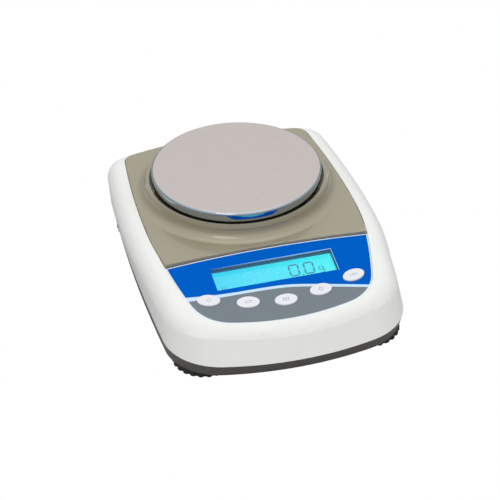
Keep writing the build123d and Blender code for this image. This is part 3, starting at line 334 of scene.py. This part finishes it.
def board_look():
    """Green circuit board with lighter tracks and small round pads."""
    look = Look("board_green")
    tracks = (look.noise(0.5, 1.0, stretch=(1, 0.15, 1)) - 0.5).size().step(0.05, 0.02)
    pads = look.node("ShaderNodeTexVoronoi")
    pads.inputs["Scale"].default_value = 0.4
    look.tree.links.new(look.place, pads.inputs["Vector"])
    dots = Value(look.tree, pads.outputs["Distance"]).step(0.22, 0.18)
    green = look.mix(tracks, colour(18, 92, 52), colour(34, 124, 74))
    look.set(Base_Color=look.mix(dots, green, colour(196, 178, 120)), Roughness=0.35)
    return look


def brushed(name, base, rough=0.3, stretch=(0.1, 1, 1)):
    """Bare metal with fine drawn lines, along the axis whose stretch is the least."""
    gloss_spread = 0.08
    look = Look(name)
    lines = look.noise(3.0, 4.0, stretch=stretch)
    look.set(Base_Color=look.tint(base, lines, 0.06), Metallic=1.0)
    look.set(Roughness=lines * (2 * gloss_spread) + (rough - gloss_spread))
    look.bump(lines, 0.004)
    return look


LOOKS = [
    plain("cover_plastic", colour(240, 241, 238), 0.36, grain=1.6, relief=0.012, uneven=0.012),
    plain("base_plastic", colour(90, 86, 82), 0.46, grain=1.1, relief=0.03, uneven=0.05),
    deck_look(),
    panel_look(),
    pan_look(),
    plain("key_white", colour(232, 234, 240), 0.34, grain=2.5, relief=0.006, uneven=0.01),
    display_look(),
    clear_look("window_clear", 0.03),
    clear_look("level_clear", 0.12),
    board_look(),
    # Display frame: dark plastic, its teal tone is painted shade of the window recess under the display's
    # blue light
    plain("frame_plastic", colour(24, 92, 128), 0.5, uneven=0.06),
    plain("lamp_plastic", colour(214, 236, 246), 0.5),
    plain("switch_plastic", colour(34, 34, 36), 0.4),
    brushed("screw_steel", colour(178, 178, 176)),
    plain("level_plastic", colour(30, 30, 31), 0.4),
    plain("level_liquid", colour(176, 214, 62), 0.1, relief=0.0),
    brushed("alloy", colour(198, 198, 200), 0.36, (1, 0.1, 1)),
    plain("seal_white", colour(214, 212, 206), 0.6, grain=1.0, relief=0.04),
    brushed("post_steel", colour(186, 186, 186), 0.22, (1, 1, 3)),
    plain("support_alloy", colour(150, 151, 153), 0.42, 0.85, grain=1.4, relief=0.02),
    plain("rubber", colour(30, 30, 30), 0.7, grain=2.0, relief=0.03),
    plain("chip_black", colour(28, 28, 29), 0.5),
    plain("capacitor_sleeve", colour(26, 28, 48), 0.3),
    brushed("tin", colour(190, 190, 188), 0.28),
    plain("header_white", colour(226, 222, 208), 0.45),
    plain("ribbon_grey", colour(150, 150, 154), 0.5),
    plain("lead_grey", colour(92, 92, 94), 0.5),
    plain("insert_black", colour(26, 26, 28), 0.45),
    plain("socket_black", colour(22, 22, 22), 0.42),
    brushed("insert_brass", colour(196, 160, 92), 0.3),
    plain("wheel_black", colour(26, 26, 26), 0.45, grain=1.6, relief=0.02),
    brushed("stud_steel", colour(176, 176, 174), 0.3, (1, 1, 8)),
    plain("pad_rubber", colour(22, 22, 22), 0.75, grain=2.4, relief=0.03),
]
looks = {look.name: look for look in LOOKS}
for row in frame["record"]["subparts"]:
    mesh = nodes[row["node"]].data
    mesh.materials.clear()
    mesh.materials.append(looks[row["material_slot"]].material)


# Printed and moulded detail


def panel_matrix(across, down, turn=0.0, depth=0.0):
    """From a flat drawing in millimetres to a place on the panel, turned in its plane and sunk below it."""
    tilt = Matrix.Rotation(PANEL_TILT, 4, "X")
    origin = Vector((0, PANEL_Y, PANEL_Z))
    local = Matrix.Translation((across, -down, -depth)) @ Matrix.Rotation(math.radians(turn), 4, "Z")
    return Matrix.Scale(MM, 4) @ Matrix.Translation(origin) @ tilt @ local


def piece(name, build, look, body):
    """A mesh filled by a function, with a look, that rides on a body."""
    bm = bmesh.new()
    build(bm)
    mesh = bpy.data.meshes.new(name)
    bmesh.ops.recalc_face_normals(bm, faces=bm.faces)
    bm.to_mesh(mesh)
    bm.free()
    obj = bpy.data.objects.new(name, mesh)
    scene.collection.objects.link(obj)
    mesh.materials.append(look.material)
    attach(obj, body)


def slab(bm, outline, matrix, thick):
    """A thin flat prism over an outline of points, from just below its plane to that thickness above."""
    low = [bm.verts.new(matrix @ Vector((x, y, -PRINT_FOOT))) for x, y in outline]
    high = [bm.verts.new(matrix @ Vector((x, y, thick))) for x, y in outline]
    count = len(outline)
    bm.faces.new(high)
    bm.faces.new(low[::-1])
    for i in range(count):
        bm.faces.new((low[i], low[(i + 1) % count], high[(i + 1) % count], high[i]))


def ring(bm, radius, width, matrix, thick, start=0.0, sweep=360.0, centre=(0, 0)):
    """A thin flat ring, or part of one, round a centre."""
    degrees_per_step = 12
    steps = max(6, int(abs(sweep) / degrees_per_step))
    closed = abs(sweep) >= 360
    arc = [math.radians(start + sweep * i / steps) for i in range(steps + (0 if closed else 1))]
    inner, outer = radius - width / 2, radius + width / 2
    corners = [(inner, -PRINT_FOOT), (outer, -PRINT_FOOT), (outer, thick), (inner, thick)]
    rows = []
    for angle in arc:
        c, s = math.cos(angle), math.sin(angle)
        spots = [Vector((centre[0] + r * c, centre[1] + r * s, h)) for r, h in corners]
        rows.append([bm.verts.new(matrix @ spot) for spot in spots])
    for i in range(len(rows) if closed else len(rows) - 1):
        a, b = rows[i], rows[(i + 1) % len(rows)]
        for k in range(4):
            bm.faces.new((a[k], b[k], b[(k + 1) % 4], a[(k + 1) % 4]))
    if not closed:
        bm.faces.new(rows[0])
        bm.faces.new(rows[-1][::-1])


def bar(x0, y0, x1, y1, width):
    """Outline of a straight bar between two points."""
    along = Vector((x1 - x0, y1 - y0))
    dx, dy = Vector((-along.y, along.x)).normalized() * (width / 2)
    return [(x0 + dx, y0 + dy), (x1 + dx, y1 + dy), (x1 - dx, y1 - dy), (x0 - dx, y0 - dy)]


def pictogram(key, bm, matrix):
    """A small plain sign for a key's task."""
    ink, line = SIGN_INK, SIGN_LINE
    if key == "power":
        ring(bm, 1.5, line, matrix, ink, start=125, sweep=290)
        slab(bm, bar(0, 0.4, 0, 2.0, line), matrix, ink)
    elif key == "unit":
        for side in (-1, 1):
            slab(bm, bar(-2.0, side * 0.7, 2.0, side * 0.7, line), matrix, ink)
            head = [(side * 2.6, side * 0.7), (side * 1.5, side * 1.35), (side * 1.5, side * 0.05)]
            slab(bm, head, matrix, ink)
    elif key == "count":
        for column in (-1, 0, 1):
            for row in (-1, 1):
                ring(bm, 0.35, 0.5, matrix, ink, centre=(column * 1.7, row * 0.85))
    elif key == "calibrate":
        ring(bm, 1.3, line, matrix, ink)
        for dx, dy in ((1, 0), (0, 1), (-1, 0), (0, -1)):
            slab(bm, bar(dx * 0.9, dy * 0.9, dx * 2.1, dy * 2.1, line), matrix, ink)
    else:
        ring(bm, 0.9, line, matrix, ink)
        for side in (-1, 1):
            slab(bm, bar(side * 3.2, 0, side * 2.0, 0, line), matrix, ink)
            slab(bm, [(side * 1.4, 0), (side * 2.2, 0.6), (side * 2.2, -0.6)], matrix, ink)


print_grey = plain("print_grey", colour(168, 172, 182), 0.5, relief=0.0)
for key, (across, down, turn) in KEYS.items():
    place = panel_matrix(across, down, turn, -KEY_TOP)
    piece("sign_" + key, lambda bm: pictogram(key, bm, place), print_grey, "key_" + key + "_body")


# Seven-segment digits: the lit ones dark, the others as a faint trace
DIGIT_SIZE = (6.2, 10.0)
DIGIT_LEAN = 0.05
DIGIT_PITCH = 10.5
FIRST_DIGIT = (-17.4, 0.1)
# The ends of each segment, in half widths and half heights of the digit
SEGMENTS = {
    "a": ((-1, 1), (1, 1)),
    "b": ((1, 1), (1, 0)),
    "c": ((1, 0), (1, -1)),
    "d": ((-1, -1), (1, -1)),
    "e": ((-1, 0), (-1, -1)),
    "f": ((-1, 1), (-1, 0)),
    "g": ((-1, 0), (1, 0)),
}


def segment_outline(centre, ends, width):
    """A segment with pointed ends, leaning with its digit."""
    half_x, half_y = DIGIT_SIZE[0] / 2, DIGIT_SIZE[1] / 2
    (ax, ay), (bx, by) = [(x * half_x, y * half_y) for x, y in ends]
    along = Vector((bx - ax, by - ay)).normalized()
    side = Vector((-along.y, along.x)) * (width / 2)
    gap, point = 0.2, along * (width / 2)
    a, b = Vector((ax, ay)) + along * gap, Vector((bx, by)) - along * gap
    spots = [a, a + point + side, b - point + side, b, b - point - side, a + point - side]
    return [(centre[0] + p.x + p.y * DIGIT_LEAN, centre[1] + p.y) for p in spots]


def digits(bm, lit):
    """The segments of all digits that are on, or those that are off."""
    on = {3: "abcdef", 4: "abcdef"}
    ink = SEGMENT_INK
    for place in range(5):
        centre = (FIRST_DIGIT[0] + DIGIT_PITCH * place, FIRST_DIGIT[1])
        for name, ends in SEGMENTS.items():
            if (name in on.get(place, "")) == lit:
                slab(bm, segment_outline(centre, ends, SEGMENT_WIDTH), glass, ink)
    if lit:
        # The decimal point
        slab(bm, bar(18.8, -5.1, 19.9, -5.1, 1.1), glass, ink)
        # The gram sign: a bowl with a tail
        ring(bm, 1.6, GRAM_LINE, glass, ink, centre=(32.6, -2.0))
        slab(bm, bar(34.2, -0.3, 34.2, -4.8, GRAM_LINE), glass, ink)
        ring(bm, 1.6, GRAM_LINE, glass, ink, start=0, sweep=-140, centre=(32.6, -4.7))
        # A small sign for a steady reading
        ring(bm, 1.1, 0.45, glass, ink, centre=(-36.6, -5.4))


glass = panel_matrix(0, WINDOW_DOWN, 0, GLASS_DEPTH)
lit_ink = Look("segment_lit")
lit_ink.set(Base_Color=colour(14, 70, 92), Roughness=0.5, Emission_Color=colour(20, 120, 150))
lit_ink.fix("Emission Strength", 0.9)
off_ink = Look("segment_off")
off_ink.set(Base_Color=colour(30, 130, 160), Roughness=0.5, Emission_Color=colour(66, 204, 236))
off_ink.fix("Emission Strength", DISPLAY_STRENGTH)
piece("segments_lit", lambda bm: digits(bm, True), lit_ink, "housing")
piece("segments_off", lambda bm: digits(bm, False), off_ink, "housing")


def top_loop(node, normal):
    """The longest edge loop round a node's upward faces, as points in order."""
    panel_origin = Vector((0, PANEL_Y, PANEL_Z)) * MM
    bm = bmesh.new()
    bm.from_mesh(nodes[node].data)
    bmesh.ops.remove_doubles(bm, verts=bm.verts, dist=1e-6)
    bm.normal_update()
    upward = {f for f in bm.faces if f.normal.dot(normal) > 0.995}
    upward = {f for f in upward if (f.calc_center_median() - panel_origin).dot(normal) > -0.1 * MM}
    border = [e for e in bm.edges if sum(f in upward for f in e.link_faces) == 1]
    ways = {}
    for e in border:
        a, b = e.verts
        ways.setdefault(a, []).append(b)
        ways.setdefault(b, []).append(a)
    loops, seen = [], set()
    for start in ways:
        if start in seen:
            continue
        loop, here, before = [], start, None
        while here not in seen:
            seen.add(here)
            loop.append(here.co.copy())
            onward = [v for v in ways[here] if v is not before and v not in seen]
            before = here
            if not onward:
                break
            here = onward[0]
        loops.append(loop)
    bm.free()
    return max(loops, key=len) if loops else []


def border_strip(bm, loop, normal, width, rise):
    """A thin strip just inside a closed edge."""
    count = len(loop)
    outer_margin = 0.08 * MM
    area = sum(a.x * b.y - b.x * a.y for a, b in zip(loop, loop[1:] + loop[:1]))
    turn = 1 if area > 0 else -1
    rows = []
    for i, point in enumerate(loop):
        before, after = loop[i - 1], loop[(i + 1) % count]
        ahead = ((after - point).normalized() + (point - before).normalized()).normalized()
        inward = normal.cross(ahead).normalized() * turn
        arriving = (point - before).normalized()
        spread = 1 / max(0.5, abs(ahead.dot(arriving)))
        lift = normal * rise
        outer = point + inward * outer_margin + lift
        inner = point + inward * (width * spread) + lift
        rows.append((bm.verts.new(outer), bm.verts.new(inner)))
    for i in range(count):
        (a, b), (c, d) = rows[i], rows[(i + 1) % count]
        bm.faces.new((a, b, d, c))


panel_up = Vector((0, -math.sin(PANEL_TILT), math.cos(PANEL_TILT)))
film_edge = top_loop("panel_overlay", panel_up)
BORDER_WIDTH, BORDER_RISE = 0.85 * MM, 0.015 * MM
white_ink = plain("print_white", colour(222, 236, 246), 0.4, relief=0.0)
piece(
    "panel_border",
    lambda bm: border_strip(bm, film_edge, panel_up, BORDER_WIDTH, BORDER_RISE),
    white_ink,
    "housing",
)


# Bench, light and camera


def ghost_white(name, shade):
    """White to the camera, a matt surface of that grey to everything else."""
    look = Look(name)
    path = look.node("ShaderNodeLightPath")
    glow = look.node("ShaderNodeEmission")
    glow.inputs["Strength"].default_value = 1.0
    matt = look.node("ShaderNodeBsdfDiffuse")
    matt.inputs["Color"].default_value = (shade, shade, shade, 1)
    look.between(Value(look.tree, path.outputs["Is Camera Ray"]), matt, glow)
    return look


bench_mesh = bpy.data.meshes.new("bench")
BENCH_REACH, BENCH_DROP = 3.0, 0.0002
corners = [(x * BENCH_REACH, y * BENCH_REACH, -BENCH_DROP) for x, y in ((-1, -1), (1, -1), (1, 1), (-1, 1))]
bench_mesh.from_pydata(corners, [], [(0, 1, 2, 3)])
bench = bpy.data.objects.new("bench", bench_mesh)
scene.collection.objects.link(bench)
bench_mesh.materials.append(ghost_white("bench_white", 0.5).material)


ROOM_LOW = (0.36, 0.37, 0.38, 1)
ROOM_HIGH = (1.06, 1.06, 1.06, 1)


def studio_world():
    """White to the camera; a soft studio that is brighter overhead for everything else."""
    world = bpy.data.worlds.new("studio")
    scene.world = world
    world.use_nodes = True
    tree = world.node_tree
    tree.nodes.clear()
    output = tree.nodes.new("ShaderNodeOutputWorld")
    coords = tree.nodes.new("ShaderNodeTexCoord")
    apart = tree.nodes.new("ShaderNodeSeparateXYZ")
    tree.links.new(coords.outputs["Generated"], apart.inputs[0])
    height = Value(tree, apart.outputs["Z"]).step(-0.1, 0.9)
    shade = tree.nodes.new("ShaderNodeMix")
    shade.data_type = "RGBA"
    plug(tree, shade.inputs[0], height)
    plug(tree, shade.inputs[6], ROOM_LOW)
    plug(tree, shade.inputs[7], ROOM_HIGH)
    room = tree.nodes.new("ShaderNodeBackground")
    tree.links.new(shade.outputs[2], room.inputs["Color"])
    white = tree.nodes.new("ShaderNodeBackground")
    path = tree.nodes.new("ShaderNodeLightPath")
    both = tree.nodes.new("ShaderNodeMixShader")
    tree.links.new(path.outputs["Is Camera Ray"], both.inputs[0])
    tree.links.new(room.outputs[0], both.inputs[1])
    tree.links.new(white.outputs[0], both.inputs[2])
    tree.links.new(both.outputs[0], output.inputs["Surface"])


def lamp(name, place, target, size, power):
    """A square soft white light."""
    light = bpy.data.lights.new(name, "AREA")
    light.size = size
    light.energy = power
    obj = bpy.data.objects.new(name, light)
    obj.location = place
    obj.rotation_mode = "QUATERNION"
    obj.rotation_quaternion = (Vector(target) - Vector(place)).to_track_quat("-Z", "Y")
    scene.collection.objects.link(obj)


studio_world()
LIT_SPOT = (0, 0, 0.03)
lamp("key_light", (-0.5, -0.7, 1.3), LIT_SPOT, size=0.5, power=1.6)
lamp("top_light", (0.1, 0.35, 1.5), LIT_SPOT, size=0.9, power=1.2)


# The camera, as solved from the photograph's outlines: angles in degrees, lengths in millimetres
CAMERA_AZIMUTH = -14.468
CAMERA_ELEVATION = 34.676
CAMERA_ROLL = -1.567
CAMERA_TARGET = (-8.459, -24.065, 40.0)
CAMERA_DISTANCE = 1682.3
CAMERA_LENS = 176.34


def photo_camera():
    """The camera of the photograph."""
    azimuth, elevation, roll = map(math.radians, (CAMERA_AZIMUTH, CAMERA_ELEVATION, CAMERA_ROLL))
    target = Vector(CAMERA_TARGET) * MM
    level = math.cos(elevation)
    back = Vector((math.sin(azimuth) * level, -math.cos(azimuth) * level, math.sin(elevation)))
    data = bpy.data.cameras.new("camera")
    data.sensor_width = 36.0
    data.lens = CAMERA_LENS
    data.clip_start, data.clip_end = 0.05, 20.0
    camera = bpy.data.objects.new("camera", data)
    scene.collection.objects.link(camera)
    right = (-back).cross(Vector((0, 0, 1))).normalized()
    up = right.cross(-back)
    c, s = math.cos(roll), math.sin(roll)
    turned = Matrix((right * c + up * s, up * c - right * s, back)).transposed().to_4x4()
    camera.matrix_world = Matrix.Translation(target + back * CAMERA_DISTANCE * MM) @ turned
    scene.camera = camera


photo_camera()
scene.view_settings.view_transform = "Standard"
